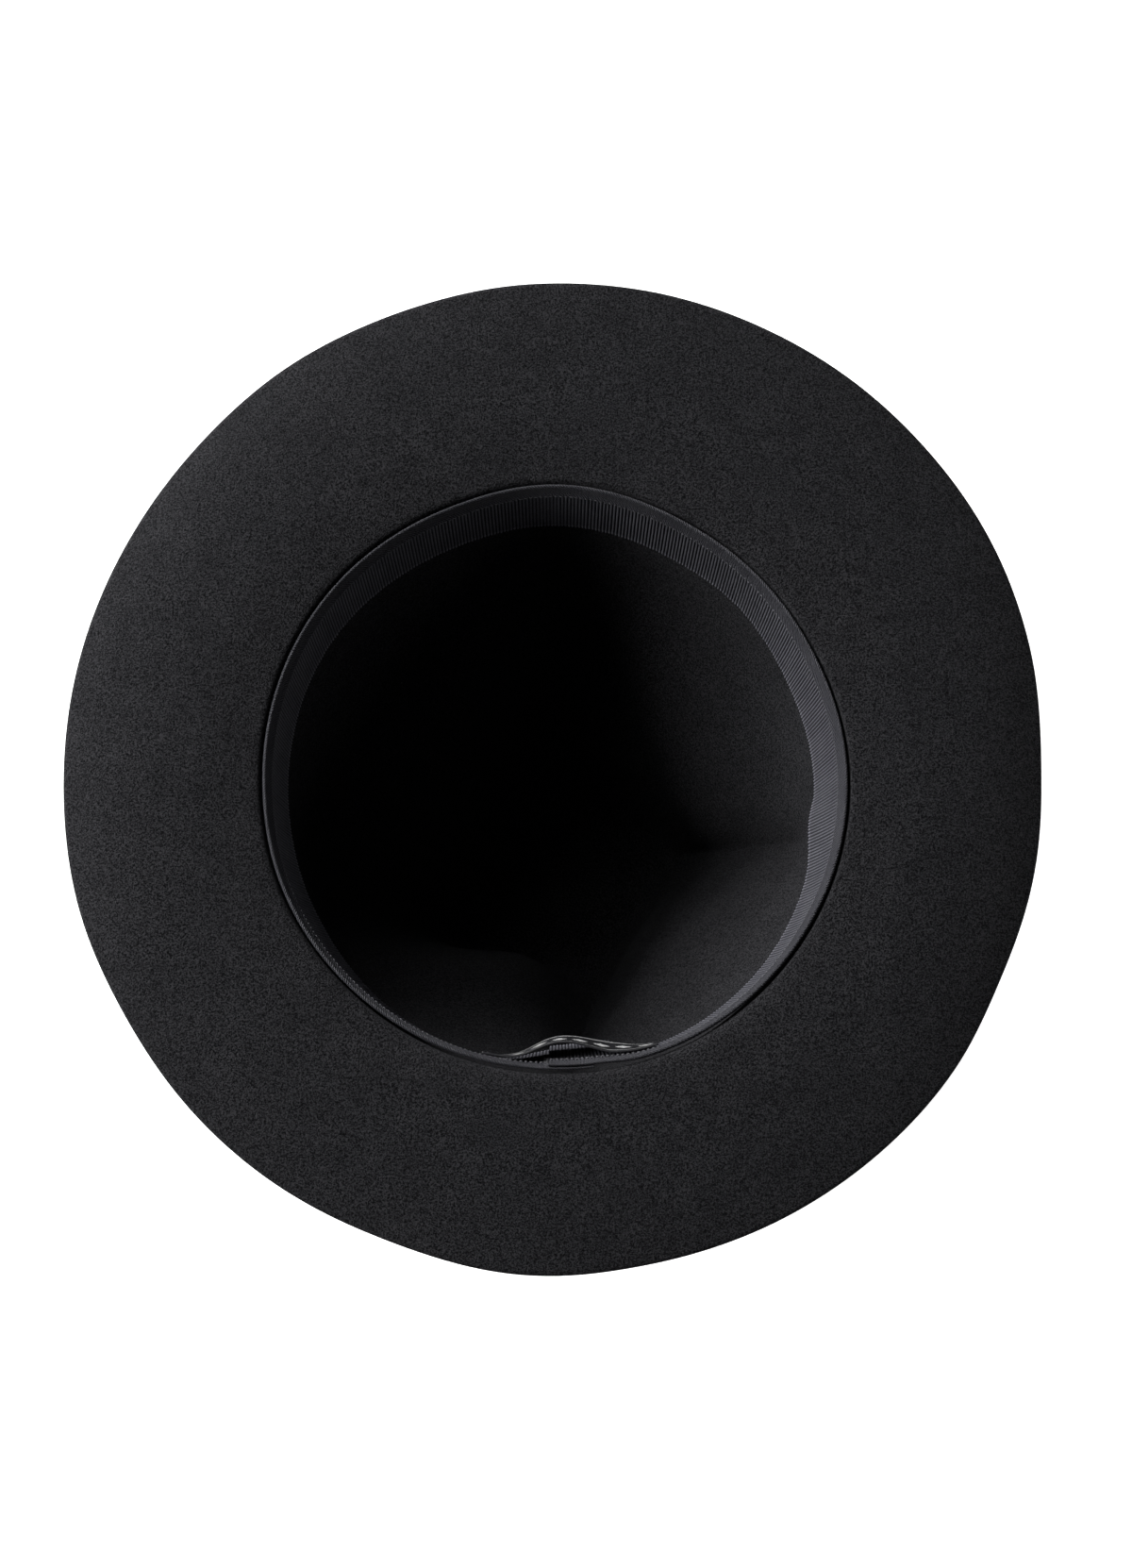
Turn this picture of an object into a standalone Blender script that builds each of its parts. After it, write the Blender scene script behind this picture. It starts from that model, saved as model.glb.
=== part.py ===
"""A tall felt hat with four dents in its crown, lying on the tip of the crown.

Lengths are in metres and +Z is up. The tip rests at the origin, the head opening faces up, and
the front of the hat points along +Y. A bearing is an angle about Z in degrees, counted from +X
towards +Y: the wearer's left is at 0, the front at 90, the right at 180 and the back at 270.
"""

import math

import bmesh
import bpy
from mathutils import Vector

# Sizes of the head opening, measured inside the ribbon
HEAD_GIRTH = 0.580
OPENING_RATIO = 1.035  # length over width

# Sizes of the felt
CROWN_HEIGHT = 0.150
CROWN_TWIST = 20.0  # degrees that the ridges turn by the time they reach the tip
BRIM_WIDTH = 0.062
BREAK_RADIUS = 0.005  # the turn from the crown into the brim, on the outside of the hat
FELT = 0.0020

# Sizes of the ribbon inside the opening
RIBBON_HEIGHT = 0.026
RIBBON = 0.0008
HEM_HEIGHT = 0.0032
HEM = 0.0012
HEM_DEPTH = 0.0025  # how far the hem's edge lies below the brim
LAP_BEARING = 269.0
LAP_LENGTH = 0.014
LAP_RAMP = 0.015
RIBBON_ROWS = (0.42, 0.72, 1.00)  # below the hem, as shares of the ribbon's height
LEAN_CURVE = 1.2  # 1 leans straight from the hem, and more leans later

# Sizes of the woven label
LABEL_WIDTH = 0.056
LABEL_HEIGHT = 0.015
LABEL = 0.0010
LABEL_DEPTH = 0.0035  # from the hem's edge down to the label
LABEL_BEARING = 273.3
LABEL_BOW = 0.0046
LABEL_BOW_WIDTH = 0.036
LABEL_BOW_FOOT = 0.3  # how much less the label bows at its lower edge, as a share
LABEL_SLACK = 0.0008  # how far it stands off the ribbon beside the bow
LABEL_RUN_UP = 0.016  # where it starts to rise before the ribbon's lap

# Running gap between pieces that touch on the real hat
CLEARANCE = 0.0003

# Numbers of faces
FACES_PER_DENT = 16
LAP_FACES = 3
RAMP_FACES = 4
RIBBON_FACES = 100
STEPS_PER_SECTION = 2
BREAK_STEPS = 3
LABEL_COLUMNS = 20
LABEL_ROWS = 3

# Sections of the crown from the tip to the brim. Height is a share of the crown's height, reach
# and scoop are shares of the opening's half size: the ridges lie at the reach, and the dents
# between them go in from it by the scoop.
CROWN_COLUMNS = ("height", "reach", "scoop")
CROWN_SECTIONS = (
    (0.000, 0.10, 0.000),
    (0.000, 0.22, 0.000),
    (0.015, 0.33, 0.020),
    (0.050, 0.42, 0.060),
    (0.105, 0.51, 0.110),
    (0.180, 0.58, 0.160),
    (0.270, 0.66, 0.195),
    (0.370, 0.75, 0.215),
    (0.480, 0.84, 0.205),
    (0.600, 0.91, 0.135),
    (0.730, 0.95, 0.045),
    (0.860, 0.98, 0.005),
    (1.000, 1.00, 0.000),
)

# The four ridges where they leave the brim, and the dent that follows each of them: how deep it
# is, as a share of the scoop, and how far its middle lies on the way to the next ridge
RIDGE_COLUMNS = ("bearing", "dent", "middle")
RIDGES = (
    (-5.0, 0.88, 0.40),
    (90.0, 0.95, 0.50),
    (181.0, 1.40, 0.68),
    (272.0, 1.12, 0.48),
)

# The brim from the break to its cut edge: how far out, and how much of its curl it has there
BRIM_COLUMNS = ("out", "curl")
BRIM_SECTIONS = (
    (0.12, 0.00),
    (0.26, 0.02),
    (0.40, 0.07),
    (0.54, 0.16),
    (0.68, 0.31),
    (0.81, 0.52),
    (0.91, 0.75),
    (1.00, 1.00),
)

# Round the hat: the size of the opening as a share of the oval's, and the brim's curl towards
# the crown as a share of the brim's width
ROUND_COLUMNS = ("bearing", "opening", "curl")
ROUND = (
    (0.0, 1.007, 0.13),
    (30.0, 0.985, 0.09),
    (58.0, 0.982, 0.06),
    (90.0, 1.004, 0.05),
    (112.0, 0.992, 0.10),
    (145.0, 0.999, 0.17),
    (180.0, 0.998, 0.16),
    (205.0, 1.006, 0.12),
    (235.0, 1.003, 0.09),
    (265.0, 1.002, 0.05),
    (300.0, 1.013, 0.06),
    (335.0, 1.014, 0.11),
)

# The brim's cut edge, a little uneven from shaping by hand: its reach as a share of the width
EDGE_COLUMNS = ("bearing", "reach")
EDGE = (
    (0.0, 0.940),
    (15.0, 1.008),
    (30.0, 1.061),
    (45.0, 1.080),
    (60.0, 1.096),
    (75.0, 1.089),
    (90.0, 1.068),
    (105.0, 1.067),
    (120.0, 1.062),
    (135.0, 1.025),
    (150.0, 1.000),
    (165.0, 0.986),
    (180.0, 0.970),
    (195.0, 0.960),
    (210.0, 0.935),
    (225.0, 0.947),
    (237.0, 0.952),
    (250.0, 0.951),
    (260.0, 0.980),
    (268.0, 0.995),
    (280.0, 0.972),
    (295.0, 0.965),
    (310.0, 0.961),
    (322.0, 0.955),
    (335.0, 0.922),
    (348.0, 0.936),
)

# How far the ribbon's free edge leans inward, as a share of its height
LEAN_COLUMNS = ("bearing", "lean")
RIBBON_LEAN = (
    (0.0, 0.31),
    (30.0, 0.22),
    (50.0, 0.15),
    (90.0, 0.14),
    (140.0, 0.13),
    (175.0, 0.19),
    (210.0, 0.26),
    (240.0, 0.22),
    (256.0, 0.22),
    (271.0, 0.44),
    (280.0, 0.46),
    (292.0, 0.26),
    (317.0, 0.25),
    (340.0, 0.28),
    (354.0, 0.37),
)


def column(table, names, name):
    """One named column of a table, as a list."""
    place = names.index(name)
    return [row[place] for row in table]


def slopes(places, values):
    """Slopes that carry a smooth curve through the values and never overshoot them."""
    runs = [b - a for a, b in zip(places, places[1:])]
    rates = [(b - a) / run for a, b, run in zip(values, values[1:], runs)]
    inner = [
        0.0 if before * after <= 0 else 2 * before * after / (before + after)
        for before, after in zip(rates, rates[1:])
    ]
    return [rates[0], *inner, rates[-1]]


def smooth(places, values, at):
    """The smooth curve through the values, read at one place."""
    tangents = slopes(places, values)
    k = max(i for i in range(len(places) - 1) if i == 0 or places[i] <= at)
    run = places[k + 1] - places[k]
    t = (at - places[k]) / run
    rise = values[k + 1] - values[k]
    start, end = tangents[k] * run, tangents[k + 1] * run
    return values[k] + t * start + t * t * (3 * rise - 2 * start - end) + t**3 * (start + end - 2 * rise)


def around(table, names, name, bearing):
    """A column of a table of bearings, read smoothly all the way round."""
    bearings = column(table, names, "bearing")
    values = column(table, names, name)
    last, first = len(bearings) - 2, 2
    places = [b - 360 for b in bearings[last:]] + bearings + [b + 360 for b in bearings[:first]]
    return smooth(places, values[last:] + values + values[:first], bearing % 360)


def opening_radius(bearing):
    """Inside the ribbon: an oval of the head's girth, a little out of true."""
    half_width = HEAD_GIRTH / (math.pi * (1 + OPENING_RATIO))
    half_length = half_width * OPENING_RATIO
    angle = math.radians(bearing)
    oval = 1 / math.hypot(math.cos(angle) / half_width, math.sin(angle) / half_length)
    return oval * around(ROUND, ROUND_COLUMNS, "opening", bearing)


def wall_radius(bearing):
    """Outside of the felt where the crown meets the brim."""
    return opening_radius(bearing) + RIBBON + CLEARANCE + FELT


def ridge_bearings(height):
    """Bearings of the four ridges at a share of the crown's height, and of the first one again."""
    turn = CROWN_TWIST * (1 - height) ** 3
    bearings = [bearing + turn for bearing in column(RIDGES, RIDGE_COLUMNS, "bearing")]
    return bearings + [bearings[0] + 360]


def column_bearings(height):
    """Bearings of the mesh's columns: the same number of them between each two ridges."""
    lines = ridge_bearings(height)
    return [
        start + (end - start) * k / FACES_PER_DENT
        for start, end in zip(lines, lines[1:])
        for k in range(FACES_PER_DENT)
    ]


def dent_share(bearing, height):
    """How deep in a dent this bearing lies, from 0 on a ridge to about 1."""
    lines = ridge_bearings(height)
    place = lines[0] + (bearing - lines[0]) % 360
    dent = max(k for k in range(len(RIDGES)) if lines[k] <= place)
    _, depth, middle = RIDGES[dent]
    way = (place - lines[dent]) / (lines[dent + 1] - lines[dent])
    away = 2 * way ** (math.log(0.5) / math.log(middle)) - 1
    return depth * (1 - away * away)


def crown_section(station):
    """(height, reach, scoop) of the crown at a place along its table of sections."""
    places = list(range(len(CROWN_SECTIONS)))
    return [smooth(places, column(CROWN_SECTIONS, CROWN_COLUMNS, name), station) for name in CROWN_COLUMNS]


def crown_radius(bearing, station):
    """Outside radius of the crown."""
    height, reach, scoop = crown_section(station)
    return wall_radius(bearing) * (reach - scoop * dent_share(bearing, height))


def station_at(height):
    """The place in the table of sections that lies at this height in metres."""
    low, high = 1.0, len(CROWN_SECTIONS) - 1.0
    wanted = height / (CROWN_HEIGHT - BREAK_RADIUS)
    for _ in range(30):
        middle = (low + high) / 2
        if crown_section(middle)[0] < wanted:
            low = middle
        else:
            high = middle
    return low


def inside_radius(bearing, height):
    """Inside radius of the felt: the outside less the felt's thickness, measured on its slope."""
    small_height = 0.0005
    here = crown_radius(bearing, station_at(height))
    lower = crown_radius(bearing, station_at(height - small_height))
    slope = (here - lower) / small_height
    return here - FELT * math.sqrt(1 + slope**2)


def at(bearing, radius, height):
    """The point at this bearing, radius and height."""
    angle = math.radians(bearing)
    return Vector((radius * math.cos(angle), radius * math.sin(angle), height))


def crown_rings():
    """Rings of the crown's outside, from the tip up to the break."""
    rings = []
    for step in range(STEPS_PER_SECTION * (len(CROWN_SECTIONS) - 1) + 1):
        station = step / STEPS_PER_SECTION
        share = crown_section(station)[0]
        height = share * (CROWN_HEIGHT - BREAK_RADIUS)
        rings.append([at(b, crown_radius(b, station), height) for b in column_bearings(share)])
    return rings


def brim_rings():
    """Rings of the brim's upper side, round the break and out to the cut edge."""
    bearings = column_bearings(height=1.0)
    rings = []
    for step in range(1, BREAK_STEPS + 1):
        turn = math.radians(90 * step / BREAK_STEPS)
        out = BREAK_RADIUS * (1 - math.cos(turn))
        height = CROWN_HEIGHT - BREAK_RADIUS * (1 - math.sin(turn))
        rings.append([at(b, wall_radius(b) + out, height) for b in bearings])
    for out, curl in BRIM_SECTIONS:
        ring = []
        for b in bearings:
            reach = BRIM_WIDTH * around(EDGE, EDGE_COLUMNS, "reach", b)
            drop = BRIM_WIDTH * around(ROUND, ROUND_COLUMNS, "curl", b)
            start = wall_radius(b) + BREAK_RADIUS
            ring.append(at(b, start + (reach - BREAK_RADIUS) * out, CROWN_HEIGHT - drop * curl))
        rings.append(ring)
    return rings


def mesh_object(name, bm, material):
    """A smooth-shaded object in the scene, made from a bmesh."""
    bmesh.ops.recalc_face_normals(bm, faces=bm.faces)
    mesh = bpy.data.meshes.new(name)
    bm.to_mesh(mesh)
    bm.free()
    mesh.shade_smooth()
    mesh.set_sharp_from_angle(angle=math.radians(40))
    mesh.materials.append(material)
    made = bpy.data.objects.new(name, mesh)
    bpy.context.scene.collection.objects.link(made)
    return made


def finish_of(name, colour, roughness):
    """A plain Principled material."""
    material = bpy.data.materials.new(name)
    material.use_nodes = True
    shader = material.node_tree.nodes["Principled BSDF"]
    shader.inputs["Base Color"].default_value = (*colour, 1)
    shader.inputs["Roughness"].default_value = roughness
    shader.inputs["Metallic"].default_value = 0
    return material


def join_loops(bm, loops):
    """Quads between each closed loop of vertices and the next."""
    for first, second in zip(loops, loops[1:]):
        for k in range(len(first)):
            n = (k + 1) % len(first)
            bm.faces.new((first[k], first[n], second[n], second[k]))


def make_felt_body():
    """Crown and brim in one sheet of felt, thickened towards the hollow."""
    bm = bmesh.new()
    loops = [[bm.verts.new(point) for point in ring] for ring in crown_rings() + brim_rings()]
    join_loops(bm, loops)
    bm.faces.new(reversed(loops[0]))
    mesh = bpy.data.meshes.new("felt_body")
    bm.to_mesh(mesh)
    bm.free()
    mesh.shade_smooth()
    mesh.materials.append(finish_of("black_felt", (0.016, 0.016, 0.018), 0.95))
    body = bpy.data.objects.new("felt_body", mesh)
    bpy.context.scene.collection.objects.link(body)
    wall = body.modifiers.new("felt", "SOLIDIFY")
    wall.thickness = FELT
    wall.offset = -1
    wall.use_even_offset = True
    wall.use_rim = True
    return body


def lap_offset(bearing, run_up):
    """How far in from the felt a strip lies that passes over the ribbon's end at the lap. It comes
    back out over the ramp after the lap, and over the run-up before it."""
    mean_radius = HEAD_GIRTH / (2 * math.pi)
    past = mean_radius * math.radians((bearing - LAP_BEARING + 180) % 360 - 180)
    beyond_lap = max(0.0, past - LAP_LENGTH - CLEARANCE)
    share = min(1.0, beyond_lap / LAP_RAMP if past > 0 else -past / run_up)
    return (HEM + CLEARANCE) * (1 - share * share * (3 - 2 * share))


def ribbon_section(bearing, offset):
    """Points (bearing, radius, height) round the ribbon's cross-section: down its back, up its face
    and round the folded hem. Offset is how far it lies in from its usual place."""
    lean = RIBBON_HEIGHT * around(RIBBON_LEAN, LEAN_COLUMNS, "lean", bearing)
    top = CROWN_HEIGHT - HEM_DEPTH
    flat = wall_radius(bearing) - FELT - CLEARANCE

    def back_radius(depth):
        leaning = flat - lean * (depth / RIBBON_HEIGHT) ** LEAN_CURVE
        if top - depth > CROWN_HEIGHT - BREAK_RADIUS:
            return leaning - offset
        return min(leaning, inside_radius(bearing, top - depth) - CLEARANCE) - offset

    depths = [HEM_HEIGHT] + [share * RIBBON_HEIGHT for share in RIBBON_ROWS]
    back = [(HEM / 2, 0.0)] + [(depth, 0.0) for depth in depths]
    face = [(depth, RIBBON) for depth in reversed(depths)]
    hem = [(HEM_HEIGHT - HEM / 2, HEM), (HEM / 2, HEM), (0.0, HEM * 0.75), (0.0, HEM * 0.25)]
    return [(bearing, back_radius(depth) - inward, top - depth) for depth, inward in back + face + hem]


def ribbon_face_radius(bearing, height):
    """Radius of the ribbon's face at a height, with a strip's run-up to the lap, for the label."""
    rows = len(RIBBON_ROWS) + 1
    face = ribbon_section(bearing, lap_offset(bearing, LABEL_RUN_UP))[rows + 1 : 2 * rows + 1]
    for (_, low_radius, low), (_, high_radius, high) in zip(face, face[1:]):
        if low <= height <= high:
            return low_radius + (high_radius - low_radius) * (height - low) / (high - low)
    return face[-1][1]


def steps(start, end, count):
    """Evenly spaced values from the start up to just before the end."""
    return [start + (end - start) * k / count for k in range(count)]


def strip(bm, sections):
    """A closed strip through sections of the same number of points."""
    loops = [[bm.verts.new(at(*point)) for point in section] for section in sections]
    join_loops(bm, loops)
    bm.faces.new(loops[0])
    bm.faces.new(reversed(loops[-1]))


def make_sweatband():
    """The ribbon goes once round the opening, and its first end laps over its last at the back."""
    degrees_per_metre = 360 / HEAD_GIRTH
    lap = (LAP_LENGTH + CLEARANCE) * degrees_per_metre
    ramp = LAP_RAMP * degrees_per_metre
    end = 360 + LAP_LENGTH * degrees_per_metre
    travels = steps(0, lap, LAP_FACES) + steps(lap, lap + ramp, RAMP_FACES)
    travels += steps(lap + ramp, end, RIBBON_FACES) + [end]
    sections = []
    for travel in travels:
        bearing = LAP_BEARING + travel
        offset = lap_offset(bearing, LAP_RAMP) if travel < 180 else 0.0
        sections.append(ribbon_section(bearing, offset))
    bm = bmesh.new()
    strip(bm, sections)
    return mesh_object("sweatband", bm, finish_of("black_ribbon", (0.035, 0.035, 0.040), 0.6))


def make_label():
    """A small strip sewn by its two ends on the ribbon. It bows off the ribbon in the middle."""
    half_angle = math.degrees(LABEL_WIDTH / HEAD_GIRTH * math.pi)
    bow_share = min(1.0, LABEL_BOW_WIDTH / LABEL_WIDTH)
    top = CROWN_HEIGHT - HEM_DEPTH - LABEL_DEPTH
    sections = []
    for k in range(LABEL_COLUMNS + 1):
        way = 2 * k / LABEL_COLUMNS - 1
        bearing = LABEL_BEARING + half_angle * way
        back = []
        for row in range(LABEL_ROWS + 1):
            down = row / LABEL_ROWS
            height = top - LABEL_HEIGHT * down
            bow = LABEL_BOW * max(0.0, 1 - (way / bow_share) ** 2) ** 2 * (1 - LABEL_BOW_FOOT * down)
            bow += LABEL_SLACK * (1 - way * way)
            back.append((bearing, ribbon_face_radius(bearing, height) - CLEARANCE - bow, height))
        face = [(b, radius - LABEL, height) for b, radius, height in reversed(back)]
        sections.append(back + face)
    bm = bmesh.new()
    strip(bm, sections)
    return mesh_object("label", bm, finish_of("black_label", (0.03, 0.03, 0.032), 0.4))


def main():
    for old in list(bpy.data.objects):
        bpy.data.objects.remove(old)
    make_felt_body()
    make_sweatband()
    make_label()


main()
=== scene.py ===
# %% [markdown]
# # A black felt hat, seen from the inside
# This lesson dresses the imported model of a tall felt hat. The hat rests on the tip of its crown,
# so the camera looks down into the head opening. There are three things to make: the felt itself,
# the ribbed ribbon that lines the opening, and a small woven label. Thread and frayed ends follow.

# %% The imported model
import math
import random

import bmesh
import bpy
import numpy as np
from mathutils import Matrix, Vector, noise
from mathutils.bvhtree import BVHTree


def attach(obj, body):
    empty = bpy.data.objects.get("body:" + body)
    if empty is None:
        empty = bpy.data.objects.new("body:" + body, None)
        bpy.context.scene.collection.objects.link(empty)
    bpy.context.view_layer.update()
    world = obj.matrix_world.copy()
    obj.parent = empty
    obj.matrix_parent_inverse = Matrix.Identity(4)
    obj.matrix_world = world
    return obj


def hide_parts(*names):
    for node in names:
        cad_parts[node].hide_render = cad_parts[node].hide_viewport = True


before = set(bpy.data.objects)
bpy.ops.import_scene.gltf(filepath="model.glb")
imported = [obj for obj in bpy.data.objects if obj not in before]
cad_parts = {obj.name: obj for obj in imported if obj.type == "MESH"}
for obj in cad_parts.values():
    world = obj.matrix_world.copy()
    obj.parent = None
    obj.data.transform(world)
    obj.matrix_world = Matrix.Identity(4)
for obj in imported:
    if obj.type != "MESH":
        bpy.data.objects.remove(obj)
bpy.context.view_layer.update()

# %% [markdown]
# ## Sizes that the ribbon and the label share with the hat
# The opening is an oval of the head's girth, a little out of true because felt is shaped by hand.
# The numbers are the ones that the solids were built with. Each table gives a few values round
# the hat, by bearing: 0 is the wearer's left, 90 the front, 180 the right and 270 the back.

# %% Sizes, in metres
HEAD_GIRTH = 0.580
OPENING_RATIO = 1.035
CROWN_HEIGHT = 0.150
RIBBON_HEIGHT = 0.026
RIBBON_FRONT = 0.0008
GAP = 0.0003
HEM_DEPTH = 0.0025
LEAN_CURVE = 1.2
LAP_BEARING = 269.0
LAP_LENGTH = 0.014
LAP_RAMP = 0.015
LAP_RISE = 0.0011
LAP_PRESS = 0.62  # thickness of each strand where they are pressed flat in the lap
LABEL_BEARING = 273.3

OPENING = ((0, 1.007), (30, 0.985), (58, 0.982), (90, 1.004), (112, 0.992), (145, 0.999),
           (180, 0.998), (205, 1.006), (235, 1.003), (265, 1.002), (300, 1.013), (335, 1.014))
RIBBON_LEAN = ((0, 0.31), (30, 0.22), (50, 0.15), (90, 0.14), (140, 0.13), (175, 0.19),
               (210, 0.26), (240, 0.22), (256, 0.22), (271, 0.44), (280, 0.46), (292, 0.26),
               (317, 0.25), (340, 0.28), (354, 0.37))

# %% Reading a table smoothly all the way round
def slopes(places, values):
    """Slopes for a smooth curve that never overshoots its values."""
    rates = [(b - a) / (q - p) for a, b, p, q in zip(values, values[1:], places, places[1:])]
    inner = [0.0 if a * b <= 0 else 2 * a * b / (a + b) for a, b in zip(rates, rates[1:])]
    return [rates[0], *inner, rates[-1]]


def around(table, bearing):
    """A value of a table of (bearing, value) pairs, at any bearing."""
    rows = [(b - 360, v) for b, v in table[-2:]] + list(table) + [(b + 360, v) for b, v in table[:2]]
    places, values = zip(*rows)
    bearing %= 360
    k = max(i for i in range(len(places) - 1) if places[i] <= bearing)
    run, rise = places[k + 1] - places[k], values[k + 1] - values[k]
    t = (bearing - places[k]) / run
    tangents = slopes(places, values)
    start, end = tangents[k] * run, tangents[k + 1] * run
    return values[k] + t * start + t * t * (3 * rise - 2 * start - end) + t**3 * (start + end - 2 * rise)


def wall_inside(bearing):
    """Radius of the felt's inner side at the head opening."""
    half_width = HEAD_GIRTH / (math.pi * (1 + OPENING_RATIO))
    angle = math.radians(bearing)
    oval = 1 / math.hypot(math.cos(angle) / half_width, math.sin(angle) / half_width / OPENING_RATIO)
    return oval * around(OPENING, bearing) + RIBBON_FRONT + GAP


print("opening across", round(wall_inside(0) + wall_inside(180), 4))

# %% Points, tubes and objects
def at(bearing, radius, height):
    """The point at this bearing, radius and height."""
    angle = math.radians(bearing)
    return Vector((radius * math.cos(angle), radius * math.sin(angle), height))


def piece(name, mesh, material, body="root"):
    """Puts a mesh in the scene as a smooth piece of the hat."""
    made = bpy.data.objects.new(name, mesh)
    bpy.context.scene.collection.objects.link(made)
    mesh.shade_smooth()
    mesh.materials.append(material)
    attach(made, body)
    print(name, len(mesh.loop_triangles) or sum(len(p.vertices) - 2 for p in mesh.polygons), "triangles")
    return made


# %% [markdown]
# ## Small helpers for materials
# A material is a little chain of nodes: a texture gives a number at each point of the cloth, and
# that number moves the colour or tips the surface. Texture coordinates are in metres here, so a
# noise of scale 2000 has grains of half a millimetre.

# %% Node helpers
def new_material(name, colour, roughness, specular):
    """A Principled material, with its nodes, links and shader."""
    material = bpy.data.materials.new(name)
    material.use_nodes = True
    nodes, links = material.node_tree.nodes, material.node_tree.links
    shader = nodes["Principled BSDF"]
    shader.inputs["Base Color"].default_value = (*colour, 1)
    shader.inputs["Roughness"].default_value = roughness
    shader.inputs["Specular IOR Level"].default_value = specular
    return material, nodes, links, shader


def noise_of(nodes, links, source, scale, detail=2.0, rough=0.5):
    """A noise texture read at the source's coordinates."""
    texture = nodes.new("ShaderNodeTexNoise")
    texture.inputs["Scale"].default_value = scale
    texture.inputs["Detail"].default_value = detail
    texture.inputs["Roughness"].default_value = rough
    links.new(source, texture.inputs["Vector"])
    return texture.outputs["Fac"]


def ramp_of(nodes, links, source, stops):
    """Colours by a number: stops are (place, colour)."""
    ramp = nodes.new("ShaderNodeValToRGB")
    while len(ramp.color_ramp.elements) < len(stops):
        ramp.color_ramp.elements.new(0.5)
    for element, (place, colour) in zip(ramp.color_ramp.elements, stops):
        element.position = place
        element.color = (*colour, 1)
    links.new(source, ramp.inputs["Fac"])
    return ramp.outputs["Color"]


def maths(nodes, links, operation, *values):
    """One Math node. A value is a number or an output."""
    node = nodes.new("ShaderNodeMath")
    node.operation = operation
    for socket, value in zip(node.inputs, values):
        if isinstance(value, (int, float)):
            socket.default_value = value
        else:
            links.new(value, socket)
    return node.outputs[0]


def mix_of(nodes, links, factor, first, second, blend="MIX"):
    """Mixes two colours by a factor."""
    node = nodes.new("ShaderNodeMix")
    node.data_type = "RGBA"
    node.blend_type = blend
    for socket, value in zip((node.inputs[0], node.inputs[6], node.inputs[7]), (factor, first, second)):
        if isinstance(value, (int, float)):
            socket.default_value = value
        elif isinstance(value, tuple):
            socket.default_value = (*value, 1)
        else:
            links.new(value, socket)
    return node.outputs[2]


def bump_of(nodes, links, height, depth, strength=1.0, below=None):
    """Tips the surface by a height. Depth is how far its 0 lies below its 1, in metres."""
    node = nodes.new("ShaderNodeBump")
    node.inputs["Strength"].default_value = strength
    node.inputs["Distance"].default_value = depth
    links.new(height, node.inputs["Height"])
    if below is not None:
        links.new(below, node.inputs["Normal"])
    return node.outputs["Normal"]


# %% [markdown]
# ## The black felt's finish
# Felt is wool or fur matted into a sheet and sanded to a short nap. It has no thread pattern: it
# shows fine, soft grains about half a millimetre across, faint cloudy patches where the nap lies
# another way, and now and then a speck of pale lint. The nap also catches light at a glancing
# angle, which is what sheen does in the shader. A plain diffuse colour would look like rubber.

# %% Felt material
FELT_DARK = (0.0016, 0.0016, 0.0022)
FELT_LIGHT = (0.0410, 0.0407, 0.0447)
NAP_SCALE = 1500.0
FLECK_SCALE = 2500.0
CLOUD_SCALE = 85.0
LINT_SCALE = 60.0
LINT_SIZE = 0.013  # of a lint cell
LINT_SHARE = 0.80  # cells under this hold no lint
LINT_COLOUR = (0.16, 0.16, 0.17)
SOFT_SCALE = 320.0
SOFT_DEPTH = 0.0003
NAP_DEPTH = 0.0009

felt, nodes, links, shader = new_material("black_felt", FELT_DARK, 0.92, 0.08)
shader.inputs["Sheen Weight"].default_value = 0.05
shader.inputs["Sheen Roughness"].default_value = 0.55
shader.inputs["Sheen Tint"].default_value = (0.75, 0.75, 0.80, 1)
place = nodes.new("ShaderNodeTexCoord").outputs["Object"]
nap = noise_of(nodes, links, place, NAP_SCALE, 3.0, 0.62)
fleck = noise_of(nodes, links, place, FLECK_SCALE, 2.0)
cloud = noise_of(nodes, links, place, CLOUD_SCALE, 2.0)
grain = maths(nodes, links, "ADD", maths(nodes, links, "MULTIPLY", nap, 0.5),
              maths(nodes, links, "MULTIPLY", fleck, 0.5))
tone = ramp_of(nodes, links, grain, [(0.43, FELT_DARK), (0.59, FELT_LIGHT)])
shade = ramp_of(nodes, links, cloud, [(0.3, (0.86, 0.86, 0.86)), (0.7, (1.10, 1.10, 1.09))])
tone = mix_of(nodes, links, 1.0, tone, shade, "MULTIPLY")
lint = nodes.new("ShaderNodeTexVoronoi")
lint.inputs["Scale"].default_value = LINT_SCALE
links.new(place, lint.inputs["Vector"])
near = maths(nodes, links, "LESS_THAN", lint.outputs["Distance"], LINT_SIZE)
rare = nodes.new("ShaderNodeSeparateColor")
links.new(lint.outputs["Color"], rare.inputs["Color"])
chosen = maths(nodes, links, "GREATER_THAN", rare.outputs[0], LINT_SHARE)
speck = maths(nodes, links, "MULTIPLY", near, chosen)
tone = mix_of(nodes, links, speck, tone, LINT_COLOUR)
links.new(tone, shader.inputs["Base Color"])
soft = bump_of(nodes, links, noise_of(nodes, links, place, SOFT_SCALE), SOFT_DEPTH, 0.6)
links.new(bump_of(nodes, links, grain, NAP_DEPTH, 1.0, soft), shader.inputs["Normal"])
print("felt material", len(nodes), "nodes")

# %% [markdown]
# ## The felt
# Crown and brim are one piece of felt, pressed over a block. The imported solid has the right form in
# flat facets. Its triangles are joined back into squares and rounded with a Subdivision Surface,
# which keeps the form and its size. The cut edge of the brim is creased, so that it stays an edge.

# %% Rounding a solid
WELD = 0.00002
SHARP = math.radians(60)
FLAT_WITHIN = math.radians(40)
SQUARE_WITHIN = math.radians(60)


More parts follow.
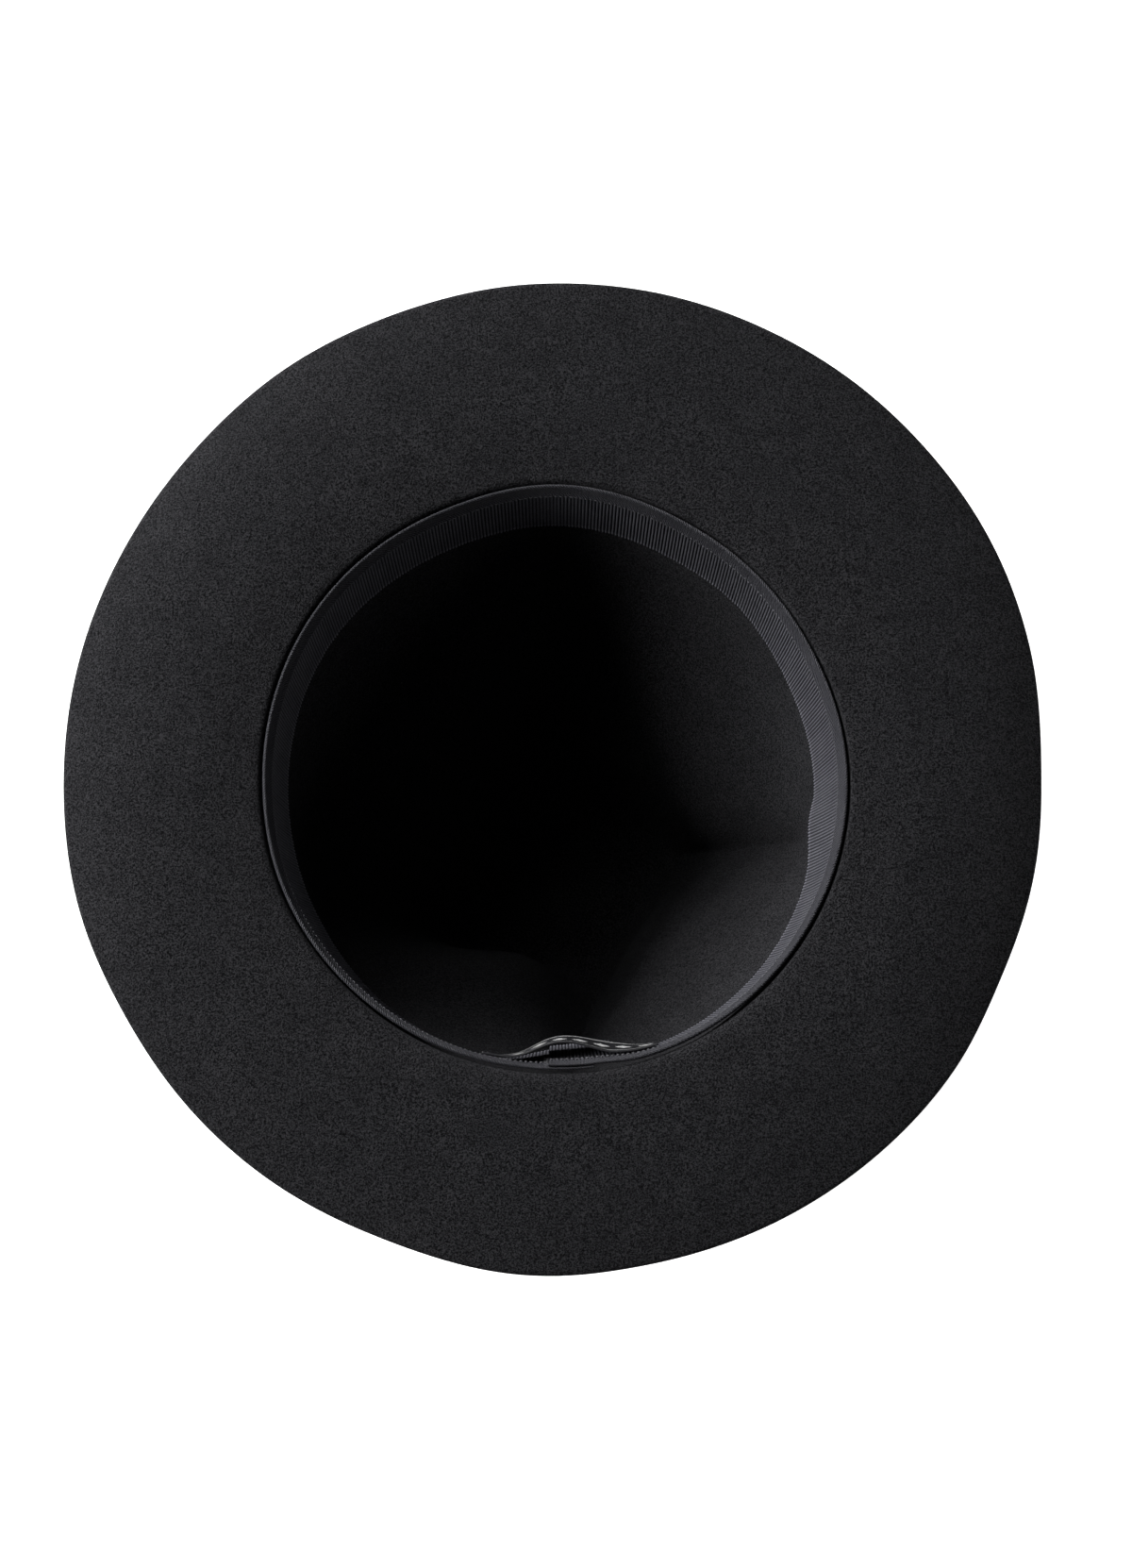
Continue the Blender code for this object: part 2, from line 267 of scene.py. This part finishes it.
def rounded_copy(node, name, levels, crease):
    """The CAD node's form without its facets, as a new mesh."""
    bm = bmesh.new()
    bm.from_mesh(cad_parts[node].data)
    bmesh.ops.remove_doubles(bm, verts=bm.verts, dist=WELD)
    bmesh.ops.join_triangles(bm, faces=bm.faces, angle_face_threshold=FLAT_WITHIN,
                             angle_shape_threshold=SQUARE_WITHIN)
    creases = bm.edges.layers.float.new("crease_edge")
    for edge in bm.edges:
        if len(edge.link_faces) == 2 and edge.calc_face_angle() > SHARP:
            edge[creases] = crease
    mesh = bpy.data.meshes.new(name)
    bm.to_mesh(mesh)
    bm.free()
    holder = bpy.data.objects.new(name + "_cage", mesh)
    bpy.context.scene.collection.objects.link(holder)
    rounding = holder.modifiers.new("rounding", "SUBSURF")
    rounding.levels = rounding.render_levels = levels
    graph = bpy.context.evaluated_depsgraph_get()
    made = bpy.data.meshes.new_from_object(holder.evaluated_get(graph))
    bpy.data.objects.remove(holder)
    made.name = name
    made.materials.clear()
    return made

# %% [markdown]
# ## The felt's fold at the opening
# The seam of the ribbon pulls the felt down into a tight fold, and the brim slopes gently towards
# it for the last two centimetres. The solid has one plain round bend there. The points are moved
# up or down by a table, and a very weak noise takes the evenness of a machine out of the brim.

# %% Felt piece
CUT_CREASE = 0.72
UNEVEN = 0.00022
UNEVEN_SCALE = 34.0
# how far the felt is moved up, by its distance out from the opening's wall
FOLD_LIFT = ((0.0, 0.0020), (0.0005, 0.0016), (0.0010, 0.0010), (0.0015, 0.0005), (0.0020, 0.00002),
             (0.0030, -0.00066), (0.0040, -0.0011), (0.0050, -0.00133), (0.0060, -0.0014),
             (0.0080, -0.00133), (0.0100, -0.00115), (0.0140, -0.00069), (0.0200, -0.0001), (0.026, 0.0))
FOLD_FOOT = 0.1445  # nothing below this height moves
# how much of that move there is, by bearing
FOLD_SHARE = ((0, 1.0), (90, 1.0), (180, 1.0), (225, 0.75), (250, 0.45), (290, 0.45),
              (318, 0.75), (340, 1.0))

felt_mesh = rounded_copy("felt_body", "felt_hat", 2, CUT_CREASE)
points = np.empty(len(felt_mesh.vertices) * 3)
facing = np.empty(len(felt_mesh.vertices) * 3)
felt_mesh.vertices.foreach_get("co", points)
felt_mesh.vertex_normals.foreach_get("vector", facing)
points, facing = points.reshape(-1, 3), facing.reshape(-1, 3)
degrees = range(361)
reach = np.hypot(points[:, 0], points[:, 1])
turn = np.degrees(np.arctan2(points[:, 1], points[:, 0])) % 360
away = reach - np.interp(turn, degrees, [wall_inside(b) for b in degrees])
share = np.interp(turn, degrees, [around(FOLD_SHARE, b) for b in degrees])
lift = share * np.interp(away, *zip(*FOLD_LIFT))
high = points[:, 2] > FOLD_FOOT
outward = (points[:, :2] * facing[:, :2]).sum(axis=1) / reach.clip(0.001)
upper = high & (facing[:, 2] > -0.05) & (outward < 0.2)
points[:, 2] += np.where(upper, lift, np.where(high, lift.clip(max=0), 0.0))
points[:, 2] += [noise.noise(p * UNEVEN_SCALE) * UNEVEN if p[2] > FOLD_FOOT else 0.0 for p in points]
felt_mesh.vertices.foreach_set("co", points.reshape(-1))
felt_mesh.update()
print("points on the felt's upper side near the opening", int(upper.sum()))
felt_hat = piece("felt_hat", felt_mesh, felt)
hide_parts("felt_body")

# %% [markdown]
# ## The ribbon's finish
# The band is grosgrain: thick cords lie across the ribbon, closely covered by fine warp threads.
# The cords are wide enough to see, so they are modelled, and painted shade darkens their grooves.
# The warp threads are a quarter of a millimetre apart, so they are a bump. The rolled edge and
# the hem are twisted yarn instead, drawn as slanting stripes with painted shade in the hollows of
# the twist. All of it is read from the ribbon's own flat coordinates: along the ribbon, and across
# it from its hidden back edge.

# %% Ribbon material
YARN_DARK = (0.068, 0.068, 0.079)
YARN_LIGHT = (0.160, 0.160, 0.180)
# painted shade: the darker colour laid into the grooves between the cords
GROOVE_PAINTED_SHADE = (0.13, 0.13, 0.14)
WARP_PITCH = 0.00026
CORD_PITCH = 0.00115
HEM_FROM, HEM_TO = 0.0265, 0.0334  # rolled edge and hem, across the cloth
LOOPS_FROM = 0.0551  # the free edge, across the cloth
LOOP_GAIN = (1.9, 1.9, 1.9)
TWIST_PITCH = 0.0009
TWIST_SLANT = 0.8
# painted shade: the darker colour in the hollows of the twisted yarn
TWIST_PAINTED_SHADE = (0.42, 0.42, 0.42)
WHITE = (1.0, 1.0, 1.0)

ribbon_finish, nodes, links, shader = new_material("black_grosgrain", YARN_DARK, 0.48, 0.20)
along = nodes.new("ShaderNodeUVMap")
along.uv_map = "cloth"
split = nodes.new("ShaderNodeSeparateXYZ")
links.new(along.outputs["UV"], split.inputs["Vector"])
warp = maths(nodes, links, "MULTIPLY", split.outputs[1], math.tau / WARP_PITCH)
warp = maths(nodes, links, "SINE", warp)
place = nodes.new("ShaderNodeTexCoord").outputs["Object"]
fuzz = noise_of(nodes, links, place, 2600.0, 2.0)
patch = noise_of(nodes, links, place, 120.0, 2.0)
tone = ramp_of(nodes, links, fuzz, [(0.30, YARN_DARK), (0.70, YARN_LIGHT)])
patchy = ramp_of(nodes, links, patch, [(0.3, (0.88, 0.88, 0.9)), (0.7, (1.1, 1.1, 1.1))])
tone = mix_of(nodes, links, 1.0, tone, patchy, "MULTIPLY")
cord = maths(nodes, links, "PINGPONG", split.outputs[0], CORD_PITCH / 2)
cord = maths(nodes, links, "MULTIPLY", cord, 2 / CORD_PITCH)
hem = maths(nodes, links, "MULTIPLY", maths(nodes, links, "GREATER_THAN", split.outputs[1], HEM_FROM),
            maths(nodes, links, "LESS_THAN", split.outputs[1], HEM_TO))
face = maths(nodes, links, "SUBTRACT", 1.0, hem)
# painted shade: on the ribbon's face the colour darkens towards each cord's groove
tone = mix_of(nodes, links, face, tone, mix_of(
    nodes, links, 1.0, tone, ramp_of(nodes, links, cord, [(0.15, GROOVE_PAINTED_SHADE), (0.72, WHITE)]), "MULTIPLY"))
loops = maths(nodes, links, "GREATER_THAN", split.outputs[1], LOOPS_FROM)
tone = mix_of(nodes, links, loops, tone, mix_of(nodes, links, 1.0, tone, LOOP_GAIN, "MULTIPLY"))
slant = maths(nodes, links, "MULTIPLY", split.outputs[1], TWIST_SLANT)
slant = maths(nodes, links, "ADD", split.outputs[0], slant)
twist = maths(nodes, links, "SINE", maths(nodes, links, "MULTIPLY", slant, math.tau / TWIST_PITCH))
# painted shade: on the rolled edge and hem the colour darkens in the hollows of the twist
tone = mix_of(nodes, links, hem, tone, mix_of(
    nodes, links, 1.0, tone, ramp_of(nodes, links, twist, [(0.1, TWIST_PAINTED_SHADE), (0.8, WHITE)]),
    "MULTIPLY"))
links.new(tone, shader.inputs["Base Color"])
twist = maths(nodes, links, "MULTIPLY", twist, hem)
threads = bump_of(nodes, links, warp, 0.00004, 0.6)
threads = bump_of(nodes, links, twist, 0.00028, 1.0, threads)
links.new(bump_of(nodes, links, fuzz, 0.00006, 0.7, threads), shader.inputs["Normal"])
print("ribbon material", len(nodes), "nodes")

# %% [markdown]
# ## The ribbon
# The ribbon's upper edge is turned over a cord of its own cloth and sewn down, which leaves a
# rolled edge, level with the felt, and a flat hem below it. Its lower edge is free, leans into the
# hat and ends in small loops, one for each cord. The ends lap at the back. A ribbon could be a
# plane with a bump, but the cords show as dark and light lines on its edge too, so they are in the
# mesh: one section of the ribbon is moved along the opening, six steps to a cord, and swells and
# sinks as it goes.

# %% Ribbon sections
STEPS_PER_CORD = 6
CORD_RELIEF = 0.00038
LOOP_LENGTH = 0.00060
HEM_SPREAD = 0.0016
HEM_HEIGHT = 0.0036
FREE_EDGE = 0.0257  # what lies deeper than this ends in loops
# depth below the rolled edge, distance in from the felt's side, share of the cords' relief
BACK_POINTS = ((0.0258, 0.0001, 0.0), (0.0180, 0.0, 0.0), (0.0090, 0.0, 0.0), (0.0030, 0.0, 0.0),
               (0.0008, 0.0, 0.3))
ROLL_POINTS = ((-0.0014, 0.0001, 0.2), (-0.0019, 0.0004, 0.3), (-0.0020, 0.0008, 0.35),
               (-0.0017, 0.0012, 0.35), (-0.0010, 0.0014, 0.3))
HEM_POINTS = ((0.0012, 0.00125, 0.15), (0.0020, 0.0012, 0.12), (0.0028, 0.0012, 0.12),
              (0.0032, 0.0011, 0.15), (0.0035, 0.0008, 0.6))
FACE_POINTS = ((0.0046, 0.0007, 1.0), (0.0080, 0.0007, 1.0), (0.0120, 0.0007, 1.0),
               (0.0160, 0.0007, 1.0), (0.0200, 0.0007, 1.0), (0.0235, 0.0007, 1.0),
               (0.0250, 0.0008, 1.1), (0.0258, 0.0007, 1.0))
SECTION = BACK_POINTS + ROLL_POINTS + HEM_POINTS + FACE_POINTS


def lap_offset(bearing, run_up=0.0):
    """How far in a strand lies where it passes over the other end of the ribbon."""
    past = HEAD_GIRTH / 360 * ((bearing - LAP_BEARING + 180) % 360 - 180)
    if past < 0:
        share = min(1.0, -past / run_up) if run_up else 1.0
    else:
        share = min(1.0, max(0.0, past - LAP_LENGTH - GAP) / LAP_RAMP)
    return LAP_RISE * (1 - share * share * (3 - 2 * share))


def ribbon_radius(bearing, depth, inward, offset):
    """Radius of a point of the ribbon that lies this far in from the felt's side of it."""
    depth = max(depth, 0.0)
    lean = RIBBON_HEIGHT * around(RIBBON_LEAN, bearing) * (depth / RIBBON_HEIGHT) ** LEAN_CURVE
    spread = HEM_SPREAD * min(1.0, depth / HEM_HEIGHT) * (1 - 0.6 * depth / RIBBON_HEIGHT)
    return wall_inside(bearing) - GAP - lean - spread - offset - inward


def cord_swell(phase):
    """How far a cord stands out, from 0 in the groove to 1 on top."""
    return abs(math.sin(math.pi * phase)) ** 0.7


# %% Ribbon piece
def ribbon_mesh():
    """The ribbon, its cords and its loops, as one closed mesh with its own flat coordinates."""
    rng = random.Random(4)
    girth = 2 * math.pi * np.mean([wall_inside(b) for b in range(0, 360, 5)])
    cords = round((girth + LAP_LENGTH) / CORD_PITCH)
    end = 360 * (girth + LAP_LENGTH) / girth
    heights = [0.88 + 0.24 * rng.random() for _ in range(cords + 1)]
    bm = bmesh.new()
    flat = bm.loops.layers.uv.new("cloth")
    sections = []
    for k in range(cords * STEPS_PER_CORD + 1):
        phase = k / STEPS_PER_CORD
        bearing = LAP_BEARING + end * phase / cords
        offset = lap_offset(bearing) if phase < cords / 2 else 0.0
        swell = cord_swell(phase) * heights[int(phase)]
        from_lap = min(phase, cords - phase) * CORD_PITCH
        press = LAP_PRESS + (1 - LAP_PRESS) * min(1.0, max(0.0, from_lap - LAP_LENGTH) / LAP_RAMP)
        ring = []
        for depth, inward, share in SECTION:
            inward *= press
            out = CORD_RELIEF * share * press * (swell - 1)
            if depth > FREE_EDGE:
                depth += LOOP_LENGTH * (swell - 0.5)
            radius = ribbon_radius(bearing, depth, inward + out, offset)
            ring.append(bm.verts.new(at(bearing, radius, CROWN_HEIGHT - HEM_DEPTH - depth)))
        sections.append(ring)
    places = np.cumsum([0.0] + [math.dist(a[:2], b[:2]) for a, b in zip(SECTION, SECTION[1:])])
    step = CORD_PITCH / STEPS_PER_CORD
    print("cord pitch in the mesh", round((girth + LAP_LENGTH) / cords, 6))
    for k, (first, second) in enumerate(zip(sections, sections[1:])):
        for i in range(len(SECTION)):
            n = (i + 1) % len(SECTION)
            face = bm.faces.new((first[i], first[n], second[n], second[i]))
            for loop, (u, v) in zip(face.loops, ((k, i), (k, n), (k + 1, n), (k + 1, i))):
                loop[flat].uv = (u * step, places[v])
    bm.faces.new(sections[0])
    bm.faces.new(reversed(sections[-1]))
    bmesh.ops.recalc_face_normals(bm, faces=bm.faces)
    mesh = bpy.data.meshes.new("ribbed_band")
    bm.to_mesh(mesh)
    bm.free()
    print("cords", cords, "girth", round(girth, 4))
    return mesh


ribbed_band = piece("ribbed_band", ribbon_mesh(), ribbon_finish)
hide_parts("sweatband")

# %% [markdown]
# ## The label's finish
# The label is a narrow damask strip: a black satin ground, so fine that it shines along the
# threads, with a row of small pale lozenges between two pale lines. They are only an ornament,
# drawn by numbers: the bearing gives the place along the label, the height the place across it,
# and both are rounded to whole threads, so that the lozenges have the stepped edges of weaving.

# %% Label material
LABEL_WIDTH = 0.056
LABEL_HEIGHT = 0.015
LABEL_DEPTH = 0.0035
THREAD = 0.00028
LOZENGE_PITCH = 0.0070
LOZENGE_LONG = 0.0026
LOZENGE_TALL = 0.0024
BORDER_FROM, BORDER_TO = LABEL_HEIGHT * 0.40, LABEL_HEIGHT * 0.44

label_finish, nodes, links, shader = new_material("woven_label", (0.02, 0.02, 0.023), 0.38, 0.45)
place = nodes.new("ShaderNodeTexCoord").outputs["Object"]
split = nodes.new("ShaderNodeSeparateXYZ")
links.new(place, split.inputs["Vector"])
backwards = maths(nodes, links, "MULTIPLY", split.outputs[1], -1.0)
turn = maths(nodes, links, "ARCTAN2", split.outputs[0], backwards)
run = maths(nodes, links, "MULTIPLY", turn, HEAD_GIRTH / math.tau)
run = maths(nodes, links, "ADD", run, -HEAD_GIRTH / 360 * (LABEL_BEARING - 270) + LOZENGE_PITCH / 2)
run = maths(nodes, links, "SNAP", run, THREAD)
label_middle = CROWN_HEIGHT - HEM_DEPTH - LABEL_DEPTH - LABEL_HEIGHT / 2
rise = maths(nodes, links, "SUBTRACT", split.outputs[2], label_middle)
rise = maths(nodes, links, "SNAP", rise, THREAD)
repeat = maths(nodes, links, "PINGPONG", run, LOZENGE_PITCH / 2)
far = maths(nodes, links, "ADD",
            maths(nodes, links, "DIVIDE", repeat, LOZENGE_LONG),
            maths(nodes, links, "DIVIDE", maths(nodes, links, "ABSOLUTE", rise), LOZENGE_TALL))
lozenge = maths(nodes, links, "LESS_THAN", far, 1.0)
from_middle = maths(nodes, links, "ABSOLUTE", rise)
past = maths(nodes, links, "GREATER_THAN", from_middle, BORDER_FROM)
border = maths(nodes, links, "MULTIPLY", past, maths(nodes, links, "LESS_THAN", from_middle, BORDER_TO))
tone = ramp_of(nodes, links, noise_of(nodes, links, place, 3000.0),
               [(0.3, (0.014, 0.014, 0.016)), (0.7, (0.034, 0.034, 0.038))])
pale = ramp_of(nodes, links, noise_of(nodes, links, place, 2400.0),
               [(0.3, (0.55, 0.55, 0.55)), (0.7, (0.85, 0.85, 0.84))])
tone = mix_of(nodes, links, maths(nodes, links, "MAXIMUM", lozenge, border), tone, pale)
links.new(tone, shader.inputs["Base Color"])
weave = maths(nodes, links, "SINE", maths(nodes, links, "MULTIPLY", split.outputs[2], math.tau / THREAD))
links.new(bump_of(nodes, links, weave, 0.00003, 0.5), shader.inputs["Normal"])
print("label material", len(nodes), "nodes")

# %% [markdown]
# ## The label
# The label is sewn to the ribbon by its two ends only, and a little too long for its place, so it
# bows off the ribbon in the middle. It is a grid that follows the ribbon's face and stands off it
# by a smooth hump, with a thin back and rounded selvedges above and below.

# %% Label piece
LABEL_COLUMNS = 140
LABEL_ROWS = 36
LABEL_THICK = 0.0007
LABEL_BOW = 0.0041
LABEL_BOW_HALF = 0.0165
LABEL_BOW_SHIFT = -0.0022
LABEL_SLACK = 0.0005
LABEL_STAND_OFF = 0.0013
LABEL_RUN_UP = 0.016
SELVEDGE = LABEL_THICK * 0.35


def label_point(along, across, inward):
    """A point of the label: along and across in metres from its middle, inward from its back."""
    bearing = LABEL_BEARING + along * 360 / HEAD_GIRTH
    depth = LABEL_DEPTH + LABEL_HEIGHT / 2 + across
    down = across / LABEL_HEIGHT + 0.5
    hump = max(0.0, 1 - ((along - LABEL_BOW_SHIFT) / LABEL_BOW_HALF) ** 2) ** 2
    ends = 1 - (2 * along / LABEL_WIDTH) ** 2
    bow = LABEL_BOW * hump * (1 - 0.3 * down) + LABEL_SLACK * ends
    inward += LABEL_STAND_OFF + bow
    radius = ribbon_radius(bearing, depth, inward, lap_offset(bearing, LABEL_RUN_UP))
    return at(bearing, radius, CROWN_HEIGHT - HEM_DEPTH - depth)


def label_strip():
    """The label as one closed mesh: loops round its thickness, one for each step along it."""
    bm = bmesh.new()
    loops = []
    for k in range(LABEL_COLUMNS + 1):
        along = LABEL_WIDTH * (k / LABEL_COLUMNS - 0.5)
        rows = [LABEL_HEIGHT * (i / LABEL_ROWS - 0.5) for i in range(LABEL_ROWS + 1)]
        back = [label_point(along, across, 0.0) for across in rows]
        face = [label_point(along, across, LABEL_THICK) for across in reversed(rows)]
        low = label_point(along, LABEL_HEIGHT / 2 + SELVEDGE, LABEL_THICK / 2)
        high = label_point(along, -LABEL_HEIGHT / 2 - SELVEDGE, LABEL_THICK / 2)
        loops.append([bm.verts.new(point) for point in back + [low] + face + [high]])
    for first, second in zip(loops, loops[1:]):
        for i in range(len(first)):
            n = (i + 1) % len(first)
            bm.faces.new((first[i], first[n], second[n], second[i]))
    bm.faces.new(loops[0])
    bm.faces.new(reversed(loops[-1]))
    bmesh.ops.recalc_face_normals(bm, faces=bm.faces)
    mesh = bpy.data.meshes.new("woven_label")
    bm.to_mesh(mesh)
    bm.free()
    return mesh


woven_label = piece("woven_label", label_strip(), label_finish)
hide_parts("label")
label_tree = BVHTree.FromObject(woven_label, bpy.context.evaluated_depsgraph_get())

# %% [markdown]
# ## Thread
# Short stitches hold the hem and the two ends of the label. A stitch is a bit of thread that comes
# out of the cloth and goes in again, so each is a small bowed tube. Curves with a bevel would do,
# but meshes made in one loop stay light and keep all of a seam in one piece.

# %% Thread helper
THREAD_SIDES = 6
THREAD_STEPS = 5


def add_thread(bm, points, radius, taper=0.35):
    """A closed tube through the points, thinner at its ends."""
    rings = []
    last = len(points) - 1
    for k, point in enumerate(points):
        direction = (points[min(k + 1, last)] - points[max(k - 1, 0)]).normalized()
        side = direction.orthogonal().normalized()
        other = direction.cross(side)
        size = radius * (taper if k in (0, last) else 1.0)
        rings.append([
            bm.verts.new(point + size * (math.cos(a) * side + math.sin(a) * other))
            for a in (math.tau * i / THREAD_SIDES for i in range(THREAD_SIDES))
        ])
    for first, second in zip(rings, rings[1:]):
        start = min(range(THREAD_SIDES), key=lambda i: (second[i].co - first[0].co).length)
        for i in range(THREAD_SIDES):
            n = (i + 1) % THREAD_SIDES
            bm.faces.new((first[i], first[n], second[(start + n) % THREAD_SIDES],
                          second[(start + i) % THREAD_SIDES]))
    bm.faces.new(rings[0])
    bm.faces.new(reversed(rings[-1]))


def seam_piece(name, threads, radius, material):
    """Many threads as one piece."""
    bm = bmesh.new()
    for points in threads:
        add_thread(bm, points, radius)
    bmesh.ops.recalc_face_normals(bm, faces=bm.faces)
    mesh = bpy.data.meshes.new(name)
    bm.to_mesh(mesh)
    bm.free()
    made = piece(name, mesh, material)
    return made


# %% Thread material
thread_finish, nodes, links, shader = new_material("black_thread", (0.12, 0.12, 0.13), 0.42, 0.4)
place = nodes.new("ShaderNodeTexCoord").outputs["Object"]
twist = noise_of(nodes, links, place, 4200.0, 1.0)
links.new(ramp_of(nodes, links, twist, [(0.3, (0.07, 0.07, 0.078)), (0.7, (0.19, 0.19, 0.205))]),
          shader.inputs["Base Color"])
links.new(bump_of(nodes, links, twist, 0.00005, 0.7), shader.inputs["Normal"])

# %% Hem stitches
STITCH_PITCH = 0.0016
STITCH_LENGTH = 0.0010
STITCH_RADIUS = 0.00016
STITCH_DEPTH = 0.0030
STITCH_BOW = 0.00012
STITCH_INWARD = 0.00110
STITCH_RISE = 0.0003


def hem_stitch(bearing, offset):
    """One stitch along the hem's lower edge."""
    points = []
    for k in range(THREAD_STEPS):
        way = k / (THREAD_STEPS - 1) - 0.5
        b = bearing + way * STITCH_LENGTH * 360 / HEAD_GIRTH
        lift = STITCH_BOW * (1 - 4 * way * way)
        radius = ribbon_radius(b, STITCH_DEPTH, STITCH_INWARD + lift, offset)
        points.append(at(b, radius, CROWN_HEIGHT - HEM_DEPTH - STITCH_DEPTH + STITCH_RISE * way))
    return points


stitch_count = int(HEAD_GIRTH / STITCH_PITCH)
hem_threads = []
for k in range(stitch_count):
    bearing = LAP_BEARING + 0.6 + 360 * k / stitch_count
    hem_threads.append(hem_stitch(bearing, lap_offset(bearing) if k < stitch_count / 2 else 0.0))
seam_piece("hem_stitches", hem_threads, STITCH_RADIUS, thread_finish)

# %% Label stitches
LABEL_STITCHES = 7
LABEL_STITCH_BOW = (0.0, 0.00012, 0.00016, 0.00012, 0.0)
LABEL_STITCH_RADIUS = 0.00013
LABEL_STITCH_STEP = 0.0003


def on_label(bearing, height, out):
    """A point on the label's face, this far out of it."""
    direction = at(bearing, 1.0, 0.0)
    hit = label_tree.ray_cast(at(bearing, 0.02, height), direction)[0]
    return hit - direction * out


label_threads = []
half_label = LABEL_WIDTH / HEAD_GIRTH * 180
label_top = CROWN_HEIGHT - HEM_DEPTH - LABEL_DEPTH
for side in (-1, 1):
    bearing = LABEL_BEARING + side * (half_label - 0.9)
    for k in range(LABEL_STITCHES):
        high = label_top - LABEL_HEIGHT * (0.08 + 0.125 * k)
        label_threads.append([on_label(bearing, high - LABEL_STITCH_STEP * i, out)
                              for i, out in enumerate(LABEL_STITCH_BOW)])
seam_piece("label_stitches", label_threads, LABEL_STITCH_RADIUS, thread_finish)

# %% [markdown]
# ## The ribbon's cut end
# At the back the ribbon's end is cut across and only sewn down, so a few warp threads have come
# loose. They are single fine threads that leave the edge in slightly different directions.

# %% Loose threads
LOOSE_THREADS = 34
AT_THE_HEM = 22
LOOSE_RADIUS = 0.00006

rng = random.Random(11)
loose = []
for k in range(LOOSE_THREADS):
    depth = 0.0002 + 0.0034 * rng.random() if k < AT_THE_HEM else 0.004 + 0.018 * rng.random()
    inward = 0.0002 + 0.0010 * rng.random() if k < AT_THE_HEM else 0.0002 + 0.0004 * rng.random()
    length = 0.0006 + 0.0012 * rng.random() ** 2
    rise, out = rng.uniform(-0.4, 0.5), rng.uniform(-0.15, 0.35)
    points = []
    for step in range(4):
        way = step / 3
        b = LAP_BEARING + 0.12 - way * length * 360 / HEAD_GIRTH
        radius = ribbon_radius(b, depth, inward, LAP_RISE) - out * length * way * way
        points.append(at(b, radius, CROWN_HEIGHT - HEM_DEPTH - depth + rise * length * way * way))
    loose.append(points)
seam_piece("loose_threads", loose, LOOSE_RADIUS, thread_finish)

# %% [markdown]
# ## Cut cloth and blocked felt
# The ribbon and the label are flat strips that were cut before they were sewn in. The felt isn't a
# sheet in that sense: it was blocked to this shape from a cone.

# %% [markdown]
# ## Floor and light
# The hat lies on a white light table, so the floor glows by itself and no shadow shows on it. Two
# large soft lamps, low at the front and on the wearer's right, do the modelling, as a wide window
# would. A weaker one hangs above them, and a faint one opposite, very low, opens the shadow on the
# ribbon. The sky is dim, so that the inside of the crown stays deep. A white backdrop stands
# round it all. It is only there to be seen, and it lights nothing.

# %% Floor
FLOOR_HALF = 3.0
FLOOR_BELOW = -0.0006
FLOOR_GLOW = 0.95
floor_mesh = bpy.data.meshes.new("floor")
floor_mesh.from_pydata([(-FLOOR_HALF, -FLOOR_HALF, 0), (FLOOR_HALF, -FLOOR_HALF, 0),
                        (FLOOR_HALF, FLOOR_HALF, 0), (-FLOOR_HALF, FLOOR_HALF, 0)], [], [(0, 1, 2, 3)])
floor = bpy.data.objects.new("floor", floor_mesh)
floor.location.z = FLOOR_BELOW
bpy.context.scene.collection.objects.link(floor)
white, nodes, links, shader = new_material("white_floor", (0.85, 0.85, 0.85), 0.9, 0.1)
shader.inputs["Emission Color"].default_value = (1, 1, 1, 1)
shader.inputs["Emission Strength"].default_value = FLOOR_GLOW
floor_mesh.materials.append(white)

# %% Sky and backdrop
SKY = 0.009
BACKDROP_RADIUS = 2.9
BACKDROP_HEIGHT = 3.4

sky = bpy.data.worlds.new("studio")
bpy.context.scene.world = sky
sky.use_nodes = True
sky.node_tree.nodes["Background"].inputs["Color"].default_value = (1, 1, 1, 1)
sky.node_tree.nodes["Background"].inputs["Strength"].default_value = SKY
bm = bmesh.new()
bmesh.ops.create_cone(bm, segments=64, radius1=BACKDROP_RADIUS, radius2=BACKDROP_RADIUS,
                      depth=BACKDROP_HEIGHT, cap_ends=False)
backdrop_mesh = bpy.data.meshes.new("backdrop")
bm.to_mesh(backdrop_mesh)
bm.free()
backdrop = bpy.data.objects.new("backdrop", backdrop_mesh)
bpy.context.scene.collection.objects.link(backdrop)
backdrop_mesh.materials.append(white)
backdrop.visible_diffuse = False
backdrop.visible_glossy = False
backdrop.visible_shadow = False

# %% Lamps
LAMP_DISTANCE = 2.2
LAMP_SIZE = 0.9
OPENING_MIDDLE = Vector((0, 0, CROWN_HEIGHT))
# name, bearing and height above the horizon in degrees, watts
LAMPS = (("window_front", 135, 23, 46), ("window_side", 178, 28, 38), ("ceiling", 135, 48, 8),
         ("fill", 335, 10, 7))

for name, bearing, elevation, watts in LAMPS:
    light = bpy.data.lights.new(name, "AREA")
    light.size = LAMP_SIZE
    light.energy = watts
    lamp = bpy.data.objects.new(name, light)
    steep = math.radians(elevation)
    height = CROWN_HEIGHT + LAMP_DISTANCE * math.sin(steep)
    lamp.location = at(bearing, LAMP_DISTANCE * math.cos(steep), height)
    lamp.rotation_euler = (OPENING_MIDDLE - lamp.location).to_track_quat("-Z", "Y").to_euler()
    bpy.context.scene.collection.objects.link(lamp)
print("lamps", len(LAMPS))

# %% [markdown]
# ## Camera
# The photograph looks into the hat from 75 degrees above the horizon, from the wearer's back.

# %% Camera
TARGET = Vector((0.0038, -0.0041, 0.150))
CAMERA_DISTANCE = 1.4
ELEVATION = math.radians(75)
lens = bpy.data.cameras.new("camera")
lens.lens = 102.8
camera = bpy.data.objects.new("camera", lens)
camera.location = TARGET + CAMERA_DISTANCE * Vector((0, -math.cos(ELEVATION), math.sin(ELEVATION)))
camera.rotation_euler = (math.pi / 2 - ELEVATION, 0, 0)
bpy.context.scene.collection.objects.link(camera)
bpy.context.scene.camera = camera
bpy.context.scene.view_settings.view_transform = "Standard"
